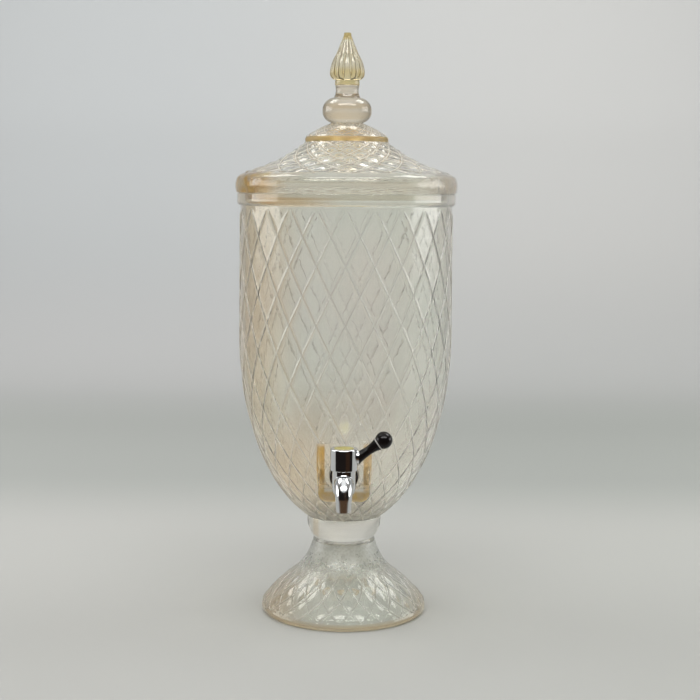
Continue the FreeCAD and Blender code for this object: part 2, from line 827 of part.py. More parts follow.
def handle_screw():
    """Pan-head screw with a cross recess, under the cap, and its washer."""
    ring("screw_washer", "XY_Plane", d.screw_washer_radius, d.screw_radius + d.stem_clearance,
         d.screw_washer_thickness, web_top, at_tap)
    body = new_body("handle_screw")
    seat = web_top + d.screw_washer_thickness
    top = seat + d.screw_head_height
    spin(body, [
        (0, web_top - d.screw_length + d.screw_end_gap),
        (d.screw_radius, web_top - d.screw_length + d.screw_end_gap),
        (d.screw_radius, seat),
        (d.screw_head_radius, seat),
        *rounded((d.screw_head_radius, top), d.screw_head_round, (0, -1), (-1, 0)),
        (0, top),
    ])
    across = d.drive_across / 2
    half = d.drive_width / 2
    for wide, deep in ((across, half), (half, across)):
        slot = draw(sketch_on(body, "XY_Plane", top), [
            (-wide, -deep), (wide, -deep), (wide, deep), (-wide, deep),
        ])
        extrude(body, slot, d.drive_depth, cut=True)
    at_tap(body)
    return finish("handle_screw", body)


def cap():
    """Chrome ring that closes the barrel, and the pale disc that lies in it."""
    body = new_body("cap_ring")
    ledge = d.handle_top - d.cap_disc_sunk - d.cap_disc_thickness
    pocket = d.cap_disc_radius + d.cap_clearance
    opening = pocket - d.cap_ledge_width
    skirt = sleeve_bore - d.cap_clearance
    spin(body, [
        (opening, cap_seam),
        (skirt - d.cap_skirt_width, cap_seam),
        (skirt - d.cap_skirt_width, cap_seam - d.cap_skirt_depth),
        (skirt, cap_seam - d.cap_skirt_depth),
        (skirt, cap_seam),
        (d.sleeve_radius, cap_seam),
        *rounded((d.sleeve_radius, d.handle_top), d.cap_ring_round, (0, -1), (-1, 0)),
        (pocket, d.handle_top),
        (pocket, ledge),
        (opening, ledge),
    ])
    at_tap(body)
    finish("cap_ring", body)
    disc = new_body("cap_disc")
    extrude(disc, circle(sketch_on(disc, "XY_Plane", ledge), d.cap_disc_radius), d.cap_disc_thickness)
    at_tap(disc)
    finish("cap_disc", disc)


def primitive(kind, name, **sizes):
    made = doc.addObject(kind, name)
    bind(made, **sizes)
    return made


def turn(thing, axis, degrees):
    """Turns a piece about an axis through its own origin."""
    thing.Placement.Rotation = FreeCAD.Rotation(axis, 0)
    thing.Placement = FreeCAD.Placement(thing.Placement.Base, FreeCAD.Rotation(axis, as_size(degrees).value))
    bind(thing, Placement__Rotation__Angle=degrees)


def boolean(kind, name, base, tool):
    made = doc.addObject(kind, name)
    made.Base = base
    made.Tool = tool
    return made


SIDE = FreeCAD.Vector(0, 1, 0)
ferrule_face = d.sleeve_radius + d.ferrule_proud
ball_out = ferrule_face + d.lever_length * cosine(d.lever_rise)
ball_up = d.lever_root_height + d.lever_length * sine(d.lever_rise)


def lever_ferrule():
    """Thin chrome saddle between the barrel and the lever's root."""
    disc = primitive("Part::Cylinder", "FerruleDisc", Radius=d.ferrule_radius, Height=ferrule_face)
    turn(disc, SIDE, 90)
    move(disc, y=-tap_reach, z=tap_height + d.lever_root_height)
    barrel = primitive("Part::Cylinder", "FerruleBarrel", Radius=d.sleeve_radius,
                       Height=2 * d.handle_top)
    move(barrel, y=-tap_reach, z=tap_height)
    saddle = boolean("Part::Cut", "FerruleSaddle", disc, barrel)
    hole = primitive("Part::Cylinder", "FerruleHole", Radius=d.tenon_radius + d.thread_clearance,
                     Height=2 * ferrule_face)
    turn(hole, SIDE, 90)
    move(hole, y=-tap_reach, z=tap_height + d.lever_root_height)
    return finish("lever_ferrule", boolean("Part::Cut", "Ferrule", saddle, hole))


def handle_lever():
    """Waisted round lever that rises from the barrel to a cup with a stud for the ball."""
    shaft = new_body("lever_shaft")
    cup = d.ball_radius + d.ball_fit
    rim = d.lever_length - other_leg(cup, d.lever_cup_radius)
    stud = d.lever_length - other_leg(cup, d.stud_radius)
    middle = (d.lever_cup_radius + d.stud_radius) / 2
    brink_radius = d.lever_cup_radius - d.lever_cup_round / 2
    brink = d.lever_length - other_leg(cup, brink_radius)
    outside = rim - d.lever_cup_round
    back = d.lever_root_radius
    spin(shaft, [
        (0, -back),
        (d.lever_root_radius + d.lever_root_flare, -back),
        ((d.lever_waist_radius + d.lever_swell, d.lever_swell_at),
         (d.lever_waist_radius, d.lever_waist_at)),
        ((d.lever_waist_radius + d.lever_swell, (d.lever_waist_at + rim) / 2),
         (d.lever_cup_radius, outside)),
        (((3 * d.lever_cup_radius + brink_radius) / 4, (outside + brink + 2 * rim) / 4),
         (brink_radius, brink)),
        ((middle, d.lever_length - other_leg(cup, middle)), (d.stud_radius, stud)),
        (d.stud_radius, d.lever_length - d.stud_short),
        (0, d.lever_length - d.stud_short),
    ])
    turn(shaft, SIDE, 90 - d.lever_rise)
    move(shaft, x=ferrule_face, y=-tap_reach, z=tap_height + d.lever_root_height)
    behind = primitive("Part::Box", "LeverBehind", Length=4 * back, Width=4 * back, Height=4 * back)
    move(behind, x=ferrule_face - 4 * back, y=-tap_reach - 2 * back,
         z=tap_height + d.lever_root_height - 2 * back)
    trimmed = boolean("Part::Cut", "LeverTrimmed", shaft, behind)
    tenon_start = d.sleeve_radius - d.tenon_inset + d.tenon_gap
    tenon = primitive("Part::Cylinder", "LeverTenon", Radius=d.tenon_radius,
                      Height=ferrule_face - tenon_start + d.tenon_overlap)
    turn(tenon, SIDE, 90)
    move(tenon, x=tenon_start, y=-tap_reach, z=tap_height + d.lever_root_height)
    return finish("handle_lever", boolean("Part::Fuse", "Lever", trimmed, tenon))


def lever_ball():
    """Ball with a blind hole for the lever's stud."""
    ball = primitive("Part::Sphere", "BallRound", Radius=d.ball_radius)
    move(ball, x=ball_out, y=-tap_reach, z=tap_height + ball_up)
    hole = primitive("Part::Cylinder", "BallHole", Radius=d.stud_radius + d.ball_fit,
                     Height=d.lever_length)
    turn(hole, SIDE, 90 - d.lever_rise)
    move(hole, x=ferrule_face, y=-tap_reach, z=tap_height + d.lever_root_height)
    return finish("lever_ball", boolean("Part::Cut", "Ball", ball, hole))


pedestal()
vessel()
lid()
finial()
tap_body()
clamping()
bonnet()
valve_plug()
seal("lower_o_ring", -d.seal_height)
seal("upper_o_ring", d.seal_height)
handle_sleeve()
handle_screw()
cap()
lever_ferrule()
handle_lever()
lever_ball()
doc.recompute()

broken = [thing.Label for thing in doc.Objects if {"Invalid", "Error"} & set(thing.State)]
for name, thing in finished.items():
    if thing.Shape.isNull() or not thing.Shape.isValid() or len(thing.Shape.Solids) != 1:
        broken.append(name)
if broken:
    raise RuntimeError("these objects failed: " + ", ".join(broken))

os.makedirs("parts", exist_ok=True)
for name, thing in finished.items():
    thing.Shape.exportStep(f"parts/{name}.step")
    box = thing.Shape.BoundBox
    print(f"{name:16s} volume {thing.Shape.Volume:10.1f}  z {box.ZMin:7.2f} to {box.ZMax:7.2f}")
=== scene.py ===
"""Looks of the footed glass drink dispenser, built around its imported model.

Profiles are in millimetres, as (radius, height) points; meshes and materials are in metres. The
tap faces -Y.
"""

import json
import math

import bpy
import numpy as np
from mathutils import Matrix, Vector

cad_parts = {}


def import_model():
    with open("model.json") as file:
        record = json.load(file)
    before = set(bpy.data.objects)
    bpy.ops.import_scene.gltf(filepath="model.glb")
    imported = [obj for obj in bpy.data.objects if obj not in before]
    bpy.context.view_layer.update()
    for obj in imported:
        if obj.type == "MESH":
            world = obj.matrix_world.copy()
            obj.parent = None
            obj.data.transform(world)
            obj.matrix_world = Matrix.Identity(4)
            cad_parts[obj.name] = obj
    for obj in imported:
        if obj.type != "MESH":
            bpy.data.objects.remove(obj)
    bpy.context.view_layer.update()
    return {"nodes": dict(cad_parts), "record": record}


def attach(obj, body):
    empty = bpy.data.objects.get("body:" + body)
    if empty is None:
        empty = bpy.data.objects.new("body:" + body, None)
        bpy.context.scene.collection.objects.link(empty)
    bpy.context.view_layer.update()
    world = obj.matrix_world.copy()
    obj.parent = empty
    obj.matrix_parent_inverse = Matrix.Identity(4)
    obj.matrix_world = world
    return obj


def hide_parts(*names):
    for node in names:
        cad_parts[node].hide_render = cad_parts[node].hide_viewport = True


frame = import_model()

MM = 0.001

# Sizes in millimetres. Heights are over the table, and TAP_AXIS, BOSS_FACE and BOSS_SEAT along Y.

VESSEL_BASE = 91.2
VESSEL_FLOOR = 96.2
BELLY_RISE = 167.0
LATTICE_END = 374.6
RIM_BEAD_FOOT = 377.7
WALL_TOP = 382.9
RIM_TOP = 389.2
LID_BASE = 389.4
FINIAL_BASE = 486.4

FOOT_RADIUS = 34.2
BELLY_RADIUS = 97.7
WALL_TOP_RADIUS = 97.0
MOUTH_RADIUS = 92.4
WALL = 4.6

TAP_HEIGHT = 143.5
TAP_AXIS = -108.0
TAP_HOLE_RADIUS = 8.2
BOSS_FACE = -86.0
BOSS_SEAT = -77.5
BOSS_SEAT_RADIUS = 17.0
BOSS_HALF_WIDTH = 22.7
BOSS_BELOW_TAP = 23.5
BOSS_ABOVE_TAP = 29.0

POLE_RADIUS = 0.4
LATTICE_CUTS = np.array([0, 0.018, 0.037, 0.06, 0.15, 0.30, 0.5, 0.70, 0.85, 0.94, 0.963, 0.982])


# Profiles

def arc(start, middle, end, count=8):
    """Points on the circle through three points, start and end included."""
    (ax, ay), (bx, by), (cx, cy) = start, middle, end
    twice = 2 * (ax * (by - cy) + bx * (cy - ay) + cx * (ay - by))
    a2, b2, c2 = ax * ax + ay * ay, bx * bx + by * by, cx * cx + cy * cy
    x = (a2 * (by - cy) + b2 * (cy - ay) + c2 * (ay - by)) / twice
    y = (a2 * (cx - bx) + b2 * (ax - cx) + c2 * (bx - ax)) / twice
    first = math.atan2(ay - y, ax - x)
    sweep = (math.atan2(cy - y, cx - x) - first) % (2 * math.pi)
    if (math.atan2(by - y, bx - x) - first) % (2 * math.pi) > sweep:
        sweep -= 2 * math.pi
    angle = first + sweep * np.linspace(0, 1, count + 1)
    radius = math.hypot(ax - x, ay - y)
    return np.column_stack((x + radius * np.cos(angle), y + radius * np.sin(angle)))


def chain(*pieces):
    """One profile from points and runs of points, without repeats."""
    points = np.vstack([np.atleast_2d(np.asarray(piece, dtype=float)) for piece in pieces])
    steps = np.hypot(*np.diff(points, axis=0).T)
    return points[np.concatenate(([True], steps > 1e-6))]


def lifted(points, rise):
    """The same profile, higher by rise."""
    return np.asarray(points, dtype=float) + (0, rise)


def reach(points):
    """How far along its profile each point lies."""
    return np.concatenate(([0.0], np.cumsum(np.hypot(*np.diff(points, axis=0).T))))


def along(points, places):
    """Positions and outward directions at distances along a profile."""
    so_far = reach(points)
    position = np.stack([np.interp(places, so_far, points[:, axis]) for axis in (0, 1)], axis=-1)
    slope = np.gradient(points, so_far, axis=0)
    run = np.stack([np.interp(places, so_far, slope[:, axis]) for axis in (0, 1)], axis=-1)
    run /= np.linalg.norm(run, axis=-1, keepdims=True)
    return position, np.stack((run[..., 1], -run[..., 0]), axis=-1)


# Meshes

def new_piece(name, points, faces):
    """An object of that name, from points in metres and faces as lists of their numbers."""
    mesh = bpy.data.meshes.new(name)
    mesh.from_pydata(np.asarray(points).tolist(), [], faces)
    mesh.update()
    piece = bpy.data.objects.new(name, mesh)
    bpy.context.scene.collection.objects.link(piece)
    return piece


def settle(piece):
    """Replaces the piece's mesh by what its modifiers make of it."""
    graph = bpy.context.evaluated_depsgraph_get()
    mesh = bpy.data.meshes.new_from_object(piece.evaluated_get(graph))
    piece.modifiers.clear()
    piece.data = mesh


def smooth(piece, degrees=32):
    """Smooth shading, with a sharp edge where two faces turn by more than that many degrees."""
    piece.data.polygons.foreach_set("use_smooth", np.ones(len(piece.data.polygons), dtype=bool))
    piece.data.set_sharp_from_angle(angle=math.radians(degrees))


def cut_glass(base, cutter, operation):
    """Joins or cuts two closed pieces and deletes the second."""
    change = base.modifiers.new("Cut", "BOOLEAN")
    change.object = cutter
    change.operation = operation
    change.solver = "MANIFOLD"
    settle(base)
    bpy.data.objects.remove(cutter)


def vertices_of(mesh):
    """A mesh's vertices, one row each."""
    flat = np.empty(len(mesh.vertices) * 3)
    mesh.vertices.foreach_get("co", flat)
    return flat.reshape(-1, 3)


def face_outward(piece):
    """Turns the faces of a closed mesh outward if its volume is negative."""
    mesh = piece.data
    mesh.calc_loop_triangles()
    index = np.empty(len(mesh.loop_triangles) * 3, dtype=np.int32)
    mesh.loop_triangles.foreach_get("vertices", index)
    a, b, c = vertices_of(mesh)[index.reshape(-1, 3)].transpose(1, 0, 2)
    if np.einsum("ij,ij->i", a, np.cross(b, c)).sum() < 0:
        mesh.flip_normals()


def stacked(name, outlines):
    """A closed piece from outlines of equally many points, in millimetres, each joined to the next."""
    count = len(outlines[0])
    j = np.arange(count)
    after = np.roll(j, -1)
    faces = []
    for layer in range(len(outlines) - 1):
        low, high = layer * count, (layer + 1) * count
        faces += np.column_stack((low + j, low + after, high + after, high + j)).tolist()
    faces.append(list(range(count - 1, -1, -1)))
    faces.append(list(range((len(outlines) - 1) * count, len(outlines) * count)))
    piece = new_piece(name, np.vstack(outlines) * MM, faces)
    face_outward(piece)
    return piece


# Pressed glass shells

def grid_line(index, cuts):
    """Place of a grid line in pitches: whole pitches plus cuts, which crowd at the ribs."""
    return np.floor_divide(index, len(cuts)) + cuts[np.mod(index, len(cuts))]


class Shell:
    """A closed surface turned about Z, ring upon ring, with lattices whose edges follow their ribs.

    Rib lines are whole a and whole b, where a = t + z and b = t - z; t is the turn in pitches and
    z the height in diamonds. Grid lines i and j stand at a = T(i), b = T(j), where T crowds at whole
    numbers, so row k = i - j starts and ends on a ring of nodes. A plain ring keeps the last turns.
    """

    def __init__(self, pitches, cuts, turn=0.0):
        self.pitches = pitches
        self.cuts = np.asarray(cuts)
        self.turn = turn
        self.side = len(self.cuts) * pitches
        self.j = np.arange(self.side)
        self.after = np.roll(self.j, -1)
        self.turns = grid_line(self.j, self.cuts).astype(float)
        self.rings = []
        self.marks = []
        self.faces = []

    def add_ring(self, position, direction, height, turns, mark):
        """A ring on the profile, raised by height; its turns are in pitches."""
        angle = 2 * np.pi * turns / self.pitches + self.turn
        radius = (position[..., 0] + height * direction[..., 0]) * MM
        up = (position[..., 1] + height * direction[..., 1]) * MM
        ring = (radius * np.cos(angle), radius * np.sin(angle), up + 0 * angle)
        self.rings.append(np.stack(ring, axis=-1))
        self.marks.append(mark + np.zeros(self.side))

    def add_faces(self, *corners):
        """Faces from one array of point numbers for each of their corners."""
        rows = np.stack(np.broadcast_arrays(*corners), axis=-1)
        self.faces.extend(rows.reshape(-1, len(corners)).tolist())

    def plain(self, points, rows=None, relief=None):
        """Rings at even distances along the points, or without rows, at the points themselves."""
        points = np.asarray(points, dtype=float)
        so_far = reach(points)
        places = so_far if rows is None else np.linspace(0, so_far[-1], rows + 1)
        position, direction = along(points, places)
        for step in range(1 if self.rings else 0, len(places)):
            height, mark = relief(self.turns, position[step, 1]) if relief else (0.0, 0.0)
            level = position[step] + np.zeros((self.side, 2))
            self.add_ring(level, direction[step], height, self.turns, mark)
            if len(self.rings) > 1:
                high = (len(self.rings) - 1) * self.side
                low = high - self.side
                self.add_faces(low + self.j, low + self.after, high + self.after, high + self.j)

    def lattice(self, points, half_rows, spread, relief):
        """Crossing ribs over the last ring; spread places a count of half diamonds along the points."""
        j, after, side = self.j, self.after, self.side
        first = (len(self.rings) - 1) * side
        last = half_rows * len(self.cuts)
        small = 0.01
        for k in range(1, last + 1):
            a, b = grid_line(j + k, self.cuts), grid_line(j, self.cuts)
            half_diamonds = a - b
            place = spread(half_diamonds)
            position, direction = along(points, place)
            pitch = 2 * np.pi * position[:, 0] / self.pitches
            step = (spread(half_diamonds + small) - spread(half_diamonds - small)) / (2 * small)
            lean = np.cos(np.arctan2(pitch / 2, step))
            height, mark = relief(a, b, pitch * lean, place)
            self.add_ring(position, direction, height, (a + b) / 2 + self.turns - b, mark)
        row = first + side * np.arange(1, last)[:, None]
        top = first + side * last
        self.add_faces(row + j, row - side + after, row + after, row + side + j)
        self.add_faces(first + j, first + after, first + side + j)
        self.add_faces(top + j, top - side + after, top + after)
        self.turns = self.turns + half_rows / 2

    def close(self, name):
        """Shuts both ends and makes the piece; the attribute rib says how much a point is on a rib."""
        points = np.vstack(self.rings)
        low_pole = [0, 0, self.rings[0][0, 2]]
        high_pole = [0, 0, self.rings[-1][0, 2]]
        pole = len(points)
        top = pole - self.side
        self.add_faces(pole, self.after, self.j)
        self.add_faces(top + self.j, top + self.after, pole + 1)
        piece = new_piece(name, np.vstack((points, low_pole, high_pole)), self.faces)
        rib = piece.data.attributes.new("rib", "FLOAT", "POINT")
        rib.data.foreach_set("value", np.append(np.concatenate(self.marks), (0.0, 0.0)))
        return piece


def ribs(height, half_width, crown=0.0, second=1.0, fade=None):
    """Raised cosine ribs on the lattice lines, and a crown that swells in each diamond's middle.

    The mark is the ribs' own, with the second family's multiplied by second. The relief is smoothly
    taken away from the first to the second distance in fade.
    """
    def bump(line, across):
        away = np.abs(line - np.round(line)) * across
        return np.where(away < half_width, 0.5 + 0.5 * np.cos(np.pi * away / half_width), 0.0)

    def relief(a, b, across, place):
        bump_a, bump_b = bump(a, across), bump(b, across)
        swell = np.sin(np.pi * (a % 1)) * np.sin(np.pi * (b % 1))
        ridge = 1 - (1 - bump_a) * (1 - bump_b)
        left = 1.0
        if fade:
            start, end = fade
            share = np.clip((place - start) / (end - start), 0, 1)
            left = 1 - share * share * (3 - 2 * share)
        mark = np.maximum(bump_a ** 2, second * bump_b ** 2)
        return (height * ridge + crown * swell) * left, mark * left
    return relief


def even_lean(points, half_rows, squeeze_from=None, squeezed_end=None):
    """Spread that gives ribs the same lean at every height: half diamonds go with the sum of ds / r.

    What lies past squeeze_from is pressed together so that it ends at squeezed_end.
    """
    so_far = reach(points)
    middle = (points[1:, 0] + points[:-1, 0]) / 2
    turns = np.concatenate(([0.0], np.cumsum(np.diff(so_far) / middle)))
    turns *= half_rows / turns[-1]
    places = so_far.copy()
    if squeeze_from is not None:
        past = places > squeeze_from
        share = (places[past] - squeeze_from) / (so_far[-1] - squeeze_from)
        places[past] = squeeze_from + share * (squeezed_end - squeeze_from)
    return lambda half_diamonds: np.interp(half_diamonds, turns, places)


# The four glass pieces

def urn_profile(widest, drop, low, top, top_radius, count=80):
    """A quarter ellipse from the height low up to its widest place, then a straight taper."""
    belly = VESSEL_BASE + BELLY_RISE
    angle = math.asin((belly - low) / drop) * np.linspace(1, 0, count + 1)
    bowl = np.column_stack((widest * np.cos(angle), belly - drop * np.sin(angle)))
    return chain(bowl, (top_radius, top))


def vessel():
    """Urn with 24 diamonds round it, a bead at the rim and the flat boss for the tap."""
    inset, edge, floor_bend = 0.45, 0.3, 2.0
    base = VESSEL_BASE + 0.05
    drop = BELLY_RISE / math.sqrt(1 - (FOOT_RADIUS / BELLY_RADIUS) ** 2)
    outer = urn_profile(BELLY_RADIUS - inset, drop, VESSEL_BASE, WALL_TOP, WALL_TOP_RADIUS - inset)
    lattice_end = reach(outer)[-1] - (WALL_TOP - LATTICE_END)
    bead = reach(outer)[-1] - (WALL_TOP - RIM_BEAD_FOOT)
    body = Shell(24, LATTICE_CUTS, turn=-math.pi / 2)
    body.plain([(POLE_RADIUS, base), (FOOT_RADIUS - inset - edge, base), tuple(outer[0] + (0, edge))])
    body.lattice(outer, 14, even_lean(outer, 14, lattice_end, bead),
                 ribs(0.75, 1.25, second=0.55, fade=(lattice_end - 2.5, lattice_end)))
    body.plain(chain(
        along(outer, np.array([bead]))[0][0],
        arc((97.2, 378.0), (99.0, 379.3), (99.8, 381.9)),
        arc((99.8, 387.8), (99.39, 388.79), (98.4, RIM_TOP)),
    ))
    body.plain([(98.4, RIM_TOP), (POLE_RADIUS, RIM_TOP)], 3)
    piece = body.close("vessel_glass")
    cut_glass(piece, boss_pad(), "UNION")

    inner = urn_profile(BELLY_RADIUS - WALL, drop - WALL, VESSEL_FLOOR, RIM_BEAD_FOOT, MOUTH_RADIUS, 60)
    hollow = Shell(36, np.arange(4) / 4)
    hollow.plain([(POLE_RADIUS, VESSEL_FLOOR), tuple(inner[0] - (floor_bend, 0))], 4)
    hollow.plain(arc(inner[0] - (floor_bend, 0), inner[0] - (0.5, -0.35), inner[2]))
    hollow.plain(inner[2:], 60)
    hollow.plain([(MOUTH_RADIUS, RIM_BEAD_FOOT), (MOUTH_RADIUS, 387.9), (93.7, 389.25), (93.9, 391)])
    hollow.plain([(93.9, 391), (POLE_RADIUS, 391)], 2)
    cut_glass(piece, hollow.close("hollow"), "DIFFERENCE")
    cut_glass(piece, rod("seat", BOSS_SEAT_RADIUS, BOSS_SEAT), "DIFFERENCE")
    cut_glass(piece, rod("hole", TAP_HOLE_RADIUS, BOSS_FACE - 2.0), "DIFFERENCE")
    smooth(piece)
    return piece


def rod(name, radius, front, back=-40.0, count=96):
    """A round rod along Y on the tap's level."""
    angle = 2 * np.pi * np.arange(count) / count
    ring = np.column_stack((radius * np.cos(angle), np.zeros(count), TAP_HEIGHT + radius * np.sin(angle)))
    return stacked(name, [ring + (0, front, 0), ring + (0, back, 0)])


def boss_pad(back=-43.0, corner=8.0, soft=5.0):
    """Flat upright pad: round corners below, and edges rounded towards the front except on top."""
    low, high = TAP_HEIGHT - BOSS_BELOW_TAP, TAP_HEIGHT + BOSS_ABOVE_TAP
    turn = np.linspace(0, np.pi / 2, 13)
    rounding = [(BOSS_FACE + soft * (1 - math.sin(t)), soft * (1 - math.cos(t))) for t in turn]
    outlines = []
    for place, shrink in [(back, 0.0)] + rounding:
        radius = corner - shrink
        left = np.column_stack((
            -(BOSS_HALF_WIDTH - corner) - radius * np.cos(turn),
            low + corner - radius * np.sin(turn),
        ))
        right = np.column_stack((-left[::-1, 0], left[::-1, 1]))
        top_left, top_right = (-BOSS_HALF_WIDTH + shrink, high), (BOSS_HALF_WIDTH - shrink, high)
        ring = np.vstack(([top_left], left, right, [top_right]))
        outlines.append(np.column_stack((ring[:, 0], np.full(len(ring), place), ring[:, 1])))
    return stacked("pad", outlines)


def lid():
    """Cone of 18 diamonds round it, with a rim band, a bead, a small dome and a ball knob."""
    under_and_band = chain(
        (POLE_RADIUS, 52.4), (9.0, 52.4),
        arc((9.0, 52.4), (13.5, 51.3), (17.0, 49.2)),
        arc((34.3, 41.3), (61.2, 24.5), (87.9, 14.3), 20),
        (87.9, 13.2), (87.9, -5.4),
        arc((87.9, -5.4), (88.1, -5.85), (88.5, -6), 4),
        arc((90.8, -6), (91.2, -5.85), (91.4, -5.4), 4),
        (91.4, 0), (99.9, 0),
        arc((99.9, 0), (100.25, 0.1), (100.4, 0.5), 4),
        arc((100.4, 0.5), (101.45, 6.5), (100.5, 12.0), 10),
        arc((100.5, 12.0), (99.6, 14.2), (98.2, 15.5), 6),
        arc((98.2, 15.5), (96.0, 16.9), (93.2, 17.9), 6),
    )
    cone = lifted(arc((93.2, 17.9), (62.7, 28.9), (36.8, 45.3), 60), LID_BASE)
    bead = chain(arc((36.8, 45.3), (37.9, 48.2), (36.8, 51.0), 12))
    dome = lifted(arc((36.8, 51.0), (26.6, 57.1), (14.6, 62.4), 30), LID_BASE)
    knob = chain(
        arc((14.6, 62.4), (14.4, 62.9), (14.7, 63.6), 4),
        arc((14.7, 63.6), (20.6, 67.8), (22.4, 74.4), 14),
        arc((22.4, 74.4), (20.6, 81.0), (12.3, 86.0), 14),
        arc((12.3, 86.0), (10.4, 91.6), (11.0, 96.6), 14),
        arc((11.0, 96.6), (10.9, 96.8), (10.6, 96.9), 3),
        (POLE_RADIUS, 96.9),
    )
    body = Shell(18, LATTICE_CUTS, turn=math.radians(-90 + 3.0))
    body.plain(lifted(under_and_band, LID_BASE))
    body.lattice(cone, 7, even_lean(cone, 7), ribs(0.8, 1.4, crown=1.6))
    body.plain(lifted(bead, LID_BASE))
    body.lattice(dome, 6, even_lean(dome, 6), ribs(0.5, 1.0, crown=0.8))
    body.plain(lifted(knob, LID_BASE))
    piece = body.close("lid_glass")
    smooth(piece, 40)
    return piece


def pedestal():
    """Trumpet foot with long petals that fade upward, and the collar that takes the vessel."""
    hollow_and_foot = chain(
        (POLE_RADIUS, 65.7), (18.0, 65.7),
        arc((18.4, 65.7), (21.9, 64.2), (23.4, 60.7), 8),
        arc((23.4, 60.7), (32.0, 47.2), (47.8, 30.3), 20),
        arc((47.8, 30.3), (60.7, 18.9), (70.4, 6.5), 16),
        (72.0, 0.4), (72.3, 0.05),
        (74.9, 0.05), (75.3, 0.3),
        arc((75.3, 0.3), (76.9, 4.0), (75.9, 7.4), 12),
    )
    slope = chain(
        arc((75.9, 7.4), (75.3, 9.2), (74.2, 10.7), 6),
        arc((74.2, 10.7), (63.8, 22.3), (51.2, 33.7), 24),
        arc((51.2, 33.7), (36.4, 49.2), (28.3, 70.2), 30),
    )
    collar = chain(
        arc((28.3, 70.4), (33.2, 78.4), (34.3, 88.6), 20),
        arc((34.3, 89.8), (33.9, 90.8), (32.9, VESSEL_BASE), 6),
        (POLE_RADIUS, VESSEL_BASE),
    )
    length = reach(slope)[-1]
    rows = 5
    first_step = 7.8
    growth = 2.0

    def spread(half_diamonds):
        """Steps that each grow by 4 mm over the last, pressed to end at the neck."""
        place = first_step * half_diamonds + growth * half_diamonds ** 2
        unpressed = first_step * rows + growth * rows ** 2
        return np.minimum(place, 0) + np.maximum(place, 0) * length / unpressed

    body = Shell(24, LATTICE_CUTS, turn=math.radians(-90 - 2.5))
    body.plain(hollow_and_foot)
    body.lattice(slope, rows, spread, ribs(0.6, 0.9, crown=1.1, fade=(30.0, 60.0)))
    body.plain(collar)
    piece = body.close("pedestal_glass")
    smooth(piece, 40)
    return piece


def finial():
    """Spear of twelve round flutes on a plain ring."""
    tip = 47.0
    ring = lifted(chain(
        (POLE_RADIUS, 0.1), (10.6, 0.1),
        arc((10.6, 0.1), (11.0, 0.25), (11.2, 0.7), 4),
        arc((11.2, 3.7), (10.9, 4.3), (10.4, 4.5), 4),
        (10.3, 4.55),
    ), FINIAL_BASE)
    bud = lifted(chain(
        (10.3, 4.6),
        arc((11.2, 4.7), (14.8, 7.4), (15.9, 11.5), 16),
        arc((15.9, 11.5), (14.8, 17.7), (10.2, 27.8), 30),
        (3.5, 44.0), (3.3, 46.4),
        arc((3.3, 46.4), (3.1, 46.85), (2.7, tip), 3),
    ), FINIAL_BASE)
    rises = (4.6, 7.0, 12.0, 28.0, 44.0, 46.5, tip)
    depths = (0, 1.7, 2.5, 1.9, 0.9, 0.5, 0)
    roundness = 0.97

    def flutes(turn, height):
        """Each flute is the top of a circle: the valley deepens with the spear's own radius."""
        share = (turn % 1) * 2 - 1
        depth = np.interp(height - FINIAL_BASE, rises, depths)
        return -depth * (1 - np.sqrt(1 - roundness * share * share)), np.abs(share) ** 6

    body = Shell(12, np.arange(18) / 18, turn=math.radians(-90 + 15))
    body.plain(ring)
    body.plain(bud, 90, flutes)
    body.plain([tuple(bud[-1]), (0.3, FINIAL_BASE + tip)], 3)
    piece = body.close("finial_glass")
    smooth(piece, 50)
    return piece


# Node trees

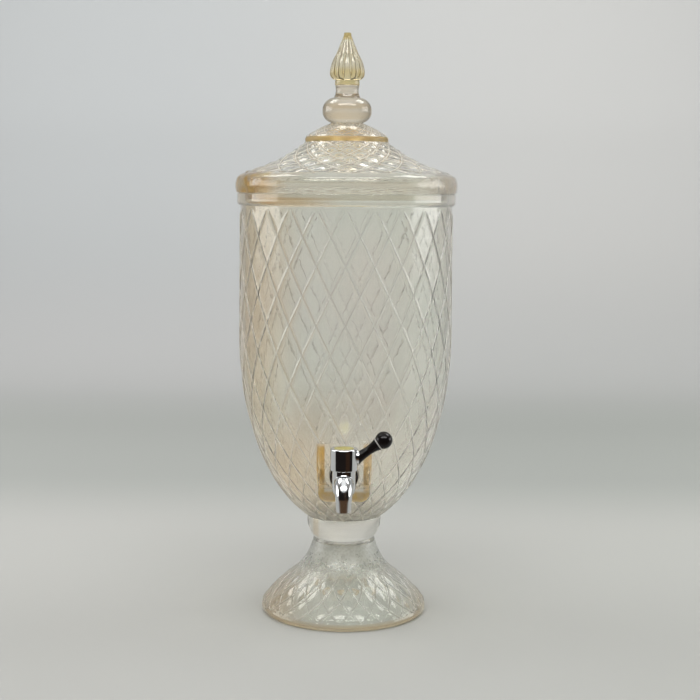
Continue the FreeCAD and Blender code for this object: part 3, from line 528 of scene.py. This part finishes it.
class Expr:
    """A node's output; arithmetic on it adds nodes to the same tree."""

    def __init__(self, tree, socket=None):
        self.tree = tree
        self.socket = socket

    def make(self, kind, inputs=(), output=0, **settings):
        """Adds a node; inputs pair a socket's name or number with a value or an expression."""
        node = self.tree.nodes.new("ShaderNode" + kind)
        for name, value in settings.items():
            setattr(node, name, value)
        for slot, value in dict(inputs).items():
            if isinstance(value, Expr):
                self.tree.links.new(value.socket, node.inputs[slot])
            else:
                node.inputs[slot].default_value = value
        return Expr(self.tree, node.outputs[output])

    def parts(self):
        """The x, y and z of a vector."""
        node = self.tree.nodes.new("ShaderNodeSeparateXYZ")
        self.tree.links.new(self.socket, node.inputs[0])
        return [Expr(self.tree, socket) for socket in node.outputs]

    def math(self, operation, *values):
        return self.make("Math", dict(enumerate(values)), operation=operation)

    def __add__(self, other):
        return self.math("ADD", self, other)

    def __sub__(self, other):
        return self.math("SUBTRACT", self, other)

    def __mul__(self, other):
        return self.math("MULTIPLY", self, other)

    def __truediv__(self, other):
        return self.math("DIVIDE", self, other)

    def __radd__(self, other):
        return self.math("ADD", other, self)

    def __rsub__(self, other):
        return self.math("SUBTRACT", other, self)

    def __rmul__(self, other):
        return self.math("MULTIPLY", other, self)

    def __abs__(self):
        return self.math("ABSOLUTE", self)

    def at_least(self, level):
        return self.math("MAXIMUM", self, level)

    def at_most(self, level):
        return self.math("MINIMUM", self, level)

    def ramp(self, low, high, from_value=0.0, to_value=1.0):
        """A smooth step from from_value at low to to_value at high."""
        if low > high:
            low, high, from_value, to_value = high, low, to_value, from_value
        return self.make("MapRange", {
            "Value": self, "From Min": low, "From Max": high, "To Min": from_value, "To Max": to_value,
        }, interpolation_type="SMOOTHSTEP")

    def band(self, start, full, fade, end):
        """1 from full to fade, and smoothly down to 0 at start and at end."""
        return self.ramp(start, full) * self.ramp(end, fade)

    def blend(self, colour_a, colour_b):
        """colour_a where this is 0, colour_b where it is 1."""
        return self.make("Mix", {0: self, 6: colour_a, 7: colour_b}, output=2, data_type="RGBA")

    def noise(self, scale, detail=2.0):
        """Soft noise over this vector, around 0.5."""
        return self.make("TexNoise", {"Vector": self, "Scale": scale, "Detail": detail})


def together(mask, *others):
    """The largest of several masks."""
    for other in others:
        mask = mask.at_least(other)
    return mask


def distance(*offsets):
    """The root of the sum of the squares of the offsets."""
    squares = offsets[0] * offsets[0]
    for offset in offsets[1:]:
        squares = squares + offset * offset
    return squares.math("SQRT", squares)


def colour(red, green, blue):
    """A colour written as the eye sees it, 0 to 255, for nodes that count light."""
    def linear(level):
        share = level / 255
        return share / 12.92 if share <= 0.04045 else ((share + 0.055) / 1.055) ** 2.4
    return (linear(red), linear(green), linear(blue), 1.0)


def light(red, green, blue):
    """A colour as amounts of light, which may pass white."""
    return (red, green, blue, 1.0)


class Spot:
    """The place that a material shades, in the piece's own coordinates."""

    def __init__(self, tree):
        self.maker = Expr(tree)
        self.place = self.maker.make("TexCoord", output=3)
        self.axes = self.place.parts()
        self.x, self.y, self.z = self.axes

    def noise(self, scale, detail=2.0):
        return self.place.noise(scale, detail)

    def rib(self):
        """How much the place is on a rib, 0 to 1."""
        return self.maker.make("Attribute", attribute_name="rib", output=2)


def first_node(tree, kind):
    return next(node for node in tree.nodes if node.type == kind)


def material(name, **constants):
    """A new material, its shader and the spot that it shades."""
    made = bpy.data.materials.new(name)
    made.use_nodes = True
    shader = first_node(made.node_tree, "BSDF_PRINCIPLED")
    for slot, value in constants.items():
        shader.inputs[slot.replace("_", " ")].default_value = value
    return made, shader, Spot(made.node_tree)


def feed(shader, slot, value):
    value.tree.links.new(value.socket, shader.inputs[slot])


def bumped(shader, height, strength, depth):
    """Tilts the shader's surface by a height field."""
    feed(shader, "Normal", height.make("Bump", {
        "Height": height, "Strength": strength, "Distance": depth,
    }))


# Glass

CLEAR = colour(253, 253, 250)
AMBER = colour(226, 181, 90)
PINK_LUSTRE = colour(253, 246, 238)
GREEN_LUSTRE = colour(246, 251, 243)

PETALS = (0.02, 0.05, 0.066, 0.070)
LID_BEAD = (0.4345, 0.4362, 0.4395, 0.4408)


def glass(name, tint, mist=None, matt=None, grain=None, clear=CLEAR, deep=AMBER, outline=0.15,
          shade_tone=(120, 104, 68), frost_tone=(240, 238, 230)):
    """Pressed glass with a champagne lustre.

    Four functions of the spot say where the amber deepens (in places as painted shade), where a mist
    scatters light, where the surface is rougher and where it has a grain. Seen edge on, the way
    through the glass is longest; the tone deepens there towards shade_tone by outline, and most of
    all from the knob upward, as painted shade for dark outlines.
    """
    made, shader, spot = material(name, IOR=1.5, Transmission_Weight=0.94)
    amber = tint(spot) * (0.75 + spot.noise(18.0, 3.0) * 0.5)
    lustre = spot.noise(9.0).ramp(0.35, 0.65).blend(PINK_LUSTRE, GREEN_LUSTRE)
    base = spot.maker.make("Mix", {0: 0.35, 6: clear, 7: lustre}, output=2, data_type="RGBA")
    tinted = amber.at_most(1.0).blend(base, deep)
    # Painted shade: seen edge on, the tone darkens towards shade_tone, giving the pieces dark outlines.
    edge_on = spot.maker.make("LayerWeight", {"Blend": 0.5}, output=1).ramp(0.45, 0.85)
    shade = edge_on * (outline * spot.z.ramp(0.446, 0.452, 0.2, 1.0))
    feed(shader, "Base Color", shade.blend(tinted, colour(*shade_tone)))
    rough = 0.02 + spot.noise(60.0, 3.0) * 0.03
    feed(shader, "Roughness", rough + matt(spot) if matt else rough)
    height = spot.noise(55.0, 3.0) + spot.noise(170.0) * 0.3
    bumped(shader, height + grain(spot) if grain else height, 0.25, 0.0006)
    if mist:
        add_mist(shader, spot, mist(spot), colour(*frost_tone))
    return made


def add_mist(shader, spot, share, tone):
    """Mixes in, by share, a white surface that scatters light back and through."""
    frost = spot.maker.make("BsdfDiffuse", {"Color": tone})
    glow = spot.maker.make("BsdfTranslucent", {"Color": tone})
    white = spot.maker.make("MixShader", {0: 0.5, 1: frost, 2: glow})
    clear = Expr(spot.maker.tree, shader.outputs[0])
    mixed = spot.maker.make("MixShader", {0: share, 1: clear, 2: white})
    feed(first_node(mixed.tree, "OUTPUT_MATERIAL"), "Surface", mixed)


def vessel_tint(spot):
    """Amber at both sides and low down, on the boss's uprights and foot, and in a streak at the rim."""
    x, y, z = spot.axes
    side = abs(x)
    left = x.ramp(-0.032, -0.098, 0.0, 0.31)
    right = x.ramp(0.088, 0.098, 0.0, 0.12)
    low = z.ramp(0.23, 0.13) * x.ramp(0.02, -0.07, 0.03, 0.27)
    front = y.ramp(-0.060, -0.068)
    pad = z.band(0.115, 0.119, 0.168, 0.174) * front
    within = side.ramp(0.0245, 0.0235) * pad
    uprights = side.ramp(0.0160, 0.0180) * within * x.ramp(0.0, 0.01, 1.0, 0.8)
    foot = z.ramp(0.1315, 0.1285) * within
    patchy = spot.noise(150.0).ramp(0.3, 0.7, 0.8, 1.15)
    streak = z.band(0.3772, 0.380, 0.3845, 0.3865) * x.ramp(0.005, -0.045, 0.0, 0.48)
    return together(left, right, low, together(uprights, foot) * patchy * 0.9, streak * front)


def vessel_mist(spot):
    """The ribs, more so higher up, and the vessel's underside."""
    underside = spot.z.ramp(0.119, 0.105, 0.0, 0.12) + spot.z.ramp(0.102, 0.094, 0.0, 0.25)
    return spot.rib() * spot.z.ramp(0.105, 0.135, 0.22, 0.42) + underside


def vessel_matt(spot):
    """The boss's foot."""
    foot = abs(spot.x).ramp(0.0265, 0.0250) * spot.z.band(0.1150, 0.1180, 0.1315, 0.1335)
    return foot * spot.y.ramp(-0.055, -0.060) * 0.45


def lid_tint(spot):
    """Amber at the rim, mottled at its ends, in the bead and the knob, and painted shade where the ribs
    meet the cells.
    """
    x, y, z = spot.axes
    rim = z.ramp(0.4055, 0.4020, 0.0, 0.10)
    mottle = spot.noise(130.0, 3.0).ramp(0.40, 0.60, 0.30, 1.15)
    left = x.ramp(-0.058, -0.092) * mottle
    right = x.ramp(0.080, 0.100, 0.0, 0.5) * mottle
    # Painted shade: deeper amber where the ribs meet the cells darkens the creases beside them.
    rib_feet_shade = spot.rib().band(0.005, 0.08, 0.35, 0.6) * 0.60
    waist = z.band(0.4640, 0.4665, 0.4690, 0.4700) * 0.25
    knob = z.ramp(0.448, 0.455, 0.0, 0.27) + waist
    return together(rim + left, right, z.band(*LID_BEAD), knob, rib_feet_shade)


def lid_mist(spot):
    """The ribs, most of all low on the cone."""
    return spot.rib() * spot.z.ramp(0.432, 0.418, 0.60, 0.85)


def lid_matt(spot):
    """The bead."""
    return spot.z.band(*LID_BEAD) * 0.35


def lid_grain(spot):
    """Fine over the cone and the dome, coarse at the rim's two ends."""
    fine = spot.noise(420.0) * spot.z.ramp(0.4050, 0.4090, 0.0, 0.35) * spot.z.ramp(0.4520, 0.4500)
    ends = abs(spot.x).ramp(0.040, 0.085) * spot.z.ramp(0.4085, 0.4060)
    return fine + spot.noise(240.0, 3.0) * ends * 3.0


def pedestal_tint(spot):
    """Amber at the brim, at both sides, in a strip up the collar's left and in the collar."""
    x, y, z = spot.axes
    brim = z.ramp(0.0065, 0.003, 0.0, 0.55)
    left = x.ramp(-0.030, -0.074, 0.0, 0.42)
    right = x.ramp(0.055, 0.077, 0.0, 0.30)
    strip = x.band(-0.030, -0.0275, -0.0245, -0.0215) * z.ramp(0.070, 0.075) * 0.5
    collar = z.ramp(0.069, 0.076, 0.0, 0.10)
    return together(brim, left, right, strip * y.ramp(0.0, -0.005), collar)


def pedestal_mist(spot):
    """The ribs, specks over the petals, and a little at the brim."""
    specks = spot.noise(420.0).ramp(0.38, 0.62, 0.0, 0.30) * spot.z.band(*PETALS)
    return spot.rib() * 0.20 + specks + spot.z.ramp(0.03, 0.02, 0.0, 0.12)


def pedestal_matt(spot):
    """The neck, with an uneven lower edge."""
    uneven = spot.z + spot.noise(330.0, 3.0) * 0.05
    return uneven.ramp(0.054, 0.078) * spot.z.ramp(0.070, 0.066) * 0.25


def pedestal_grain(spot):
    """Fine, over the petals."""
    return spot.noise(420.0) * spot.z.band(*PETALS) * 0.8


def finial_tint(spot):
    """Amber throughout and deeper at the tip. Deeper at the foot and in the valleys between flutes as
    well: painted shade where the spear turns down below its widest place and in its hollows.
    """
    # Painted shade: deeper amber below the spear's widest place, where its surface turns down.
    foot = spot.z.ramp(0.5035, 0.4980, 0.34, 0.66)
    tip = spot.z.ramp(0.5245, 0.5285, 0.0, 0.80)
    # Painted shade: deeper amber in the valleys between the flutes.
    return together(foot, tip, spot.rib() * spot.z.ramp(0.5100, 0.4950, 0.25, 0.9))


# Metal, plastic and rubber

def chrome():
    """Bright plating, with the tap's body a little more satin than its handle."""
    made, shader, spot = material("chrome", Metallic=1.0)
    feed(shader, "Base Color", spot.noise(220.0, 4.0).ramp(0.3, 0.7).blend(
        colour(214, 216, 219), colour(222, 223, 225)))
    satin = spot.z.ramp(0.1478, 0.1462, 0.0, 0.09)
    feed(shader, "Roughness", 0.02 + spot.noise(900.0, 3.0) * 0.04 + satin)
    bumped(shader, spot.noise(140.0), 0.06, 0.0003)
    return made


def pale_gold():
    """Satin gold with lathe rings about the tap's upright axis."""
    made, shader, spot = material("pale_gold", Metallic=0.75)
    turns = distance(spot.x, spot.y - TAP_AXIS * MM) * 9000.0
    feed(shader, "Base Color", spot.noise(500.0).ramp(0.3, 0.7).blend(
        colour(226, 214, 120), colour(234, 224, 148)))
    feed(shader, "Roughness", 0.32 + spot.noise(700.0) * 0.1)
    bumped(shader, turns.math("SINE", turns), 0.08, 0.0001)
    return made


def turned_metal(name, dark, pale, rough, along_y):
    """Turned or drawn metal: fine rings about the tap's level axis or its upright one."""
    made, shader, spot = material(name, Metallic=1.0)
    off_axis = spot.z - TAP_HEIGHT * MM if along_y else spot.y - TAP_AXIS * MM
    radius = distance(spot.x, off_axis)
    lathe = radius.make("CombineXYZ", {0: radius * 60.0}).noise(60.0)
    feed(shader, "Base Color", lathe.ramp(0.3, 0.7).blend(dark, pale))
    feed(shader, "Roughness", rough + lathe * 0.15)
    bumped(shader, lathe, 0.25, 0.0001)
    return made


def plastic(name, dark, pale, rough, bump, grain, brink_highlight_centre=None, **constants):
    """Moulded plastic or rubber with a fine grain and a little wear in its sheen.

    brink_highlight_centre is the centre of a ball; a pale ring on the brink of its cup is a painted
    highlight.
    """
    made, shader, spot = material(name, **constants)
    tone = spot.noise(grain * 0.35, 3.0).ramp(0.3, 0.7).blend(dark, pale)
    if brink_highlight_centre is not None:
        away = distance(*(axis - float(middle) for axis, middle in zip(spot.axes, brink_highlight_centre)))
        # Painted highlight: a pale ring on the cup's brink, round the ball.
        tone = away.ramp(0.0084, 0.0081).blend(tone, colour(196, 193, 188))
    feed(shader, "Base Color", tone)
    feed(shader, "Roughness", rough + spot.noise(grain, 3.0) * 0.12)
    bumped(shader, spot.noise(grain, 3.0), bump, 0.0002)
    return made


def smooth_copy(node, finish):
    """A merged copy of a CAD node, with smooth shading, that stands for it."""
    source = frame["nodes"][node]
    mesh = source.data.copy()
    mesh.name = node + "_dressed"
    piece = bpy.data.objects.new(mesh.name, mesh)
    bpy.context.scene.collection.objects.link(piece)
    weld = piece.modifiers.new("Weld", "WELD")
    weld.merge_threshold = 1e-6
    settle(piece)
    piece.data.name = mesh.name
    if piece.data.has_custom_normals:
        with bpy.context.temp_override(object=piece, active_object=piece, selected_objects=[piece]):
            bpy.ops.mesh.customdata_custom_splitnormals_clear()
    smooth(piece, 30)
    piece.data.materials.clear()
    piece.data.materials.append(finish)
    return piece


# The studio

def backdrop_paint():
    """Matt grey paint for the floor and the wall.

    Its tones paint the studio's light: the far floor is darker, the wall paler upward, left and right
    a little apart, and the floor by the object's foot a little paler, as painted light against its
    shadow. Seen through the glass its middle is paler: painted light for what passes through the
    glass. In the tap's mirror the floor ahead is dark, as the room behind the camera is.
    """
    made, shader, spot = material("backdrop", Roughness=0.9, Specular_IOR_Level=0.0)
    x, y, z = spot.axes
    from_axis = distance(x, y)
    # Painted light: the floor is a little paler near the object's foot, against its shadow.
    floor_with_foot_light = from_axis.ramp(0.22, 0.07).blend(colour(185, 185, 181), colour(188, 188, 183))
    # Painted light and shade: the far floor is darker before the fold, and the wall gets paler upward.
    floor_tone = y.ramp(0.28, 0.62).blend(floor_with_foot_light, colour(168, 170, 166))
    raised = y.ramp(0.95, 1.75).blend(floor_tone, colour(196, 196, 195))
    tone = z.ramp(0.08, 0.62).blend(raised, colour(222, 222, 222))
    across = x.ramp(-0.5, 0.5)
    # Painted light: left and right tones differ a little, as the studio's light does.
    side = z.ramp(0.0, 0.3).blend(
        across.blend(colour(250, 250, 250), colour(245, 246, 245)),
        across.blend(colour(246, 249, 250), colour(255, 255, 253)))
    lit = spot.maker.make(
        "Mix", {0: 1.0, 6: tone, 7: side}, output=2, data_type="RGBA", blend_type="MULTIPLY")

    # Painted light: seen through the glass the floor is paler, standing in for light that passes through
    # the glass onto it.
    through = spot.maker.make("LightPath", output="Is Transmission Ray")
    painted_through_light = from_axis.ramp(0.40, 0.14, 0.2, 0.75) * from_axis.ramp(0.06, 0.14, 0.40, 1.0)
    lit = (through * painted_through_light).blend(lit, colour(246, 245, 238))

    ahead = TAP_AXIS * MM - y
    before_tap = (ahead * 3.6 - abs(x)).ramp(0.0, 0.10) * ahead.ramp(0.05, 0.25)
    mirrored = spot.maker.make("LightPath", output="Is Glossy Ray") * before_tap
    brown = (x / ahead.at_least(0.05)).band(0.15, 0.4, 0.8, 1.5)
    distant = brown.blend(colour(30, 26, 24), colour(50, 35, 26))
    dark = distance(x, ahead).ramp(0.49, 0.56).blend(colour(80, 60, 44), distant)
    feed(shader, "Base Color", mirrored.blend(lit, dark))
    feed(shader, "Roughness", 0.85 + spot.noise(300.0) * 0.1)
    bumped(shader, spot.noise(900.0), 0.02, 0.0002)
    return made


def backdrop():
    """Pale floor that curves up into a wall: a profile along Y, carried along X."""
    half_width = 4.0
    front, flat_end = -4.0, -1.0
    bend, fold, wall = 0.5, 1.35, 3.2
    below_foot = -0.0001
    turn = np.linspace(0, np.pi / 2, 25)
    line = np.vstack((
        [(front, below_foot), (flat_end, below_foot)],
        np.column_stack((fold + bend * np.sin(turn), bend * (1 - np.cos(turn)) + below_foot)),
        [(fold + bend, wall)],
    ))
    count = len(line)
    sides = (-half_width, half_width)
    points = np.vstack([np.column_stack((np.full(count, side), line)) for side in sides])
    j = np.arange(count - 1)
    faces = np.column_stack((j, count + j, count + j + 1, j + 1)).tolist()
    piece = new_piece("backdrop", points, faces)
    smooth(piece, 60)
    piece.data.materials.append(backdrop_paint())


def world():
    """Studio that surrounds the object: bright above and at the sides, dark behind the camera.

    Mirrors see the lamps' pictures in it, glass sees a pale ground, and the camera sees plain grey.
    """
    made = bpy.data.worlds.new("studio")
    bpy.context.scene.world = made
    made.use_nodes = True
    maker = Expr(made.node_tree)
    x, y, z = maker.make("TexCoord", output=0).parts()
    side = abs(x)
    front = side.math("ARCTAN2", side, -1.0 * y).ramp(1.27, 1.37, 1.0, 0.0)
    dark = front * (1.0 - z.ramp(0.42, 0.56))

    overhead = z.at_least(0.05)
    across, back = side / overhead, y / overhead
    bar = across.ramp(0.95, 0.85) * back.band(-1.15, -1.0, -0.7, -0.55)
    wings = across.band(0.38, 0.46, 1.0, 1.15) * back.band(0.0, 0.15, 1.5, 1.75)
    sides = side.ramp(0.80, 0.84) * z.band(-0.06, 0.0, 0.30, 0.36)
    middle = across.ramp(0.34, 0.26) * back.band(-1.15, -1.0, 0.3, 0.5)
    gap = side.band(0.42, 0.52, 0.87, 0.95) * z.ramp(0.30, 0.45)
    open_tone = z.ramp(0.35, 0.6).blend(light(0.68, 0.69, 0.70), light(0.85, 0.85, 0.84))
    open_tone = gap.blend(open_tone, light(0.28, 0.27, 0.25))
    open_tone = middle.blend(open_tone, light(1.15, 1.15, 1.12))
    open_tone = bar.blend(open_tone, light(9.5, 9.5, 9.3))
    open_tone = wings.blend(open_tone, light(7.0, 7.0, 6.85))
    open_tone = sides.blend(open_tone, light(4.0, 4.0, 3.9))

    brown = x.band(0.05, 0.2, 0.45, 0.65)
    dark_tone = brown.blend(light(0.012, 0.010, 0.009), light(0.045, 0.030, 0.022))
    mirrored = dark.blend(open_tone, dark_tone)
    glossy = maker.make("LightPath", output="Is Glossy Ray")
    tone = glossy.blend(light(0.52, 0.52, 0.52), mirrored)
    scattered = maker.make("LightPath", output="Diffuse Depth")
    through = maker.make("LightPath", output="Is Transmission Ray") * (1.0 - scattered.at_most(1.0))
    pale = dark.blend(colour(226, 226, 222), colour(154, 140, 114))
    seen = maker.make("LightPath", output="Is Camera Ray")
    background = first_node(made.node_tree, "BACKGROUND")
    background.inputs["Strength"].default_value = 1.0
    feed(background, "Color", seen.blend(through.blend(tone, pale), colour(206, 206, 203)))


def softbox(name, place, size, power, through=False):
    """A rectangular lamp that looks at the object; its mirror image is in the studio's own picture."""
    target = (0, 0, 0.27)
    data = bpy.data.lights.new(name, "AREA")
    data.shape = "RECTANGLE"
    data.size, data.size_y = size
    data.energy = power
    lamp = bpy.data.objects.new(name, data)
    bpy.context.scene.collection.objects.link(lamp)
    lamp.visible_camera = False
    lamp.visible_glossy = False
    lamp.visible_transmission = through
    turned = (Vector(place) - Vector(target)).to_track_quat("Z", "Y").to_matrix().to_4x4()
    lamp.matrix_world = Matrix.Translation(place) @ turned


def camera():
    """The photograph's viewpoint: 1.28 m in front, 0.392 m up, looking 6.6 degrees down."""
    place = (0.0044, -1.28, 0.39235)
    down, roll = math.radians(6.566), math.radians(0.455)
    data = bpy.data.cameras.new("camera")
    data.lens = 71.49
    data.sensor_width = 36.0
    view = bpy.data.objects.new("camera", data)
    bpy.context.scene.collection.objects.link(view)
    tilt = Matrix.Rotation(math.radians(90) - down, 4, "X")
    view.matrix_world = Matrix.Translation(place) @ tilt @ Matrix.Rotation(roll, 4, "Z")
    bpy.context.scene.camera = view


# Assembly

GLASS = (
    (pedestal, "pedestal", "dispenser", "clear_glass", glass(
        "pedestal_glass", pedestal_tint, pedestal_mist, pedestal_matt, pedestal_grain,
        clear=colour(251, 253, 250), frost_tone=(198, 198, 190))),
    (vessel, "vessel", "dispenser", "clear_glass", glass(
        "vessel_glass", vessel_tint, vessel_mist, vessel_matt, outline=0.08)),
    (lid, "lid", "lid", "clear_glass", glass(
        "lid_glass", lid_tint, lid_mist, lid_matt, lid_grain, outline=0.8)),
    (finial, "finial", "lid", "amber_glass", glass(
        "finial_glass", finial_tint, deep=colour(230, 203, 104), outline=0.35, shade_tone=(146, 120, 54))),
)
for build, node, body, slot, finish in GLASS:
    piece = build()
    piece.data.materials.clear()
    piece.data.materials.append(finish)
    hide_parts(node)
    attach(piece, body)

ball = frame["nodes"]["lever_ball"]
ball_corners = vertices_of(ball.data)
ball_centre = ball.matrix_world @ Vector((ball_corners.min(axis=0) + ball_corners.max(axis=0)) / 2)

GLOSS_BLACK = (colour(17, 14, 14), colour(24, 20, 19), 0.04, 0.03, 300.0)
FINISHES = {
    "chrome": chrome(),
    "pale_gold": pale_gold(),
    "black_plastic": plastic("black_plastic", *GLOSS_BLACK, Specular_IOR_Level=0.2),
    "black_rubber": plastic(
        "black_rubber", colour(24, 24, 24), colour(36, 35, 34), 0.55, 0.3, 1200.0),
    "clear_silicone": plastic(
        "clear_silicone", colour(226, 226, 220), colour(236, 236, 232), 0.30, 0.1, 700.0,
        Transmission_Weight=0.6),
    "steel": turned_metal("steel", colour(172, 172, 170), colour(198, 198, 196), 0.22, True),
    "white_nylon": plastic(
        "white_nylon", colour(226, 224, 214), colour(236, 234, 226), 0.38, 0.15, 700.0),
    "turned_brass": turned_metal("turned_brass", colour(196, 162, 92), colour(220, 188, 116), 0.20, False),
    "valve_plastic": plastic(
        "valve_plastic", colour(212, 212, 206), colour(224, 224, 219), 0.30, 0.08, 700.0),
}
# The lever's plastic carries the painted highlight on the brink of the ball's cup.
LEVER_FINISH = plastic("lever_plastic", *GLOSS_BLACK, brink_highlight_centre=ball_centre, Specular_IOR_Level=0.2)

slots = {part["node"]: part["material_slot"] for part in frame["record"]["subparts"]}
bodies = frame["record"]["behaviour"]["bodies"]
home = {node: body for body, nodes in bodies.items() for node in nodes}
for node, slot in slots.items():
    if slot not in FINISHES:
        continue
    piece = smooth_copy(node, LEVER_FINISH if node == "handle_lever" else FINISHES[slot])
    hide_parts(node)
    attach(piece, home[node])

backdrop()
world()
softbox("overhead", (0.0, -0.8, 2.1), (1.6, 1.0), 19.0)
softbox("left_top", (-1.15, 0.35, 1.9), (1.2, 0.7), 6.6)
softbox("right_top", (1.15, 0.35, 1.9), (1.2, 0.7), 6.6)
softbox("rear", (0.0, 1.25, 1.9), (1.2, 0.5), 4.5, through=True)
softbox("left_side", (-1.5, 0.5, 0.75), (1.6, 0.5), 6.3)
softbox("right_side", (1.5, 0.5, 0.75), (1.6, 0.5), 6.3)
camera()

scene = bpy.context.scene
scene.view_settings.view_transform = "Standard"
scene.cycles.max_bounces = 20
scene.cycles.transmission_bounces = 18
scene.cycles.glossy_bounces = 8
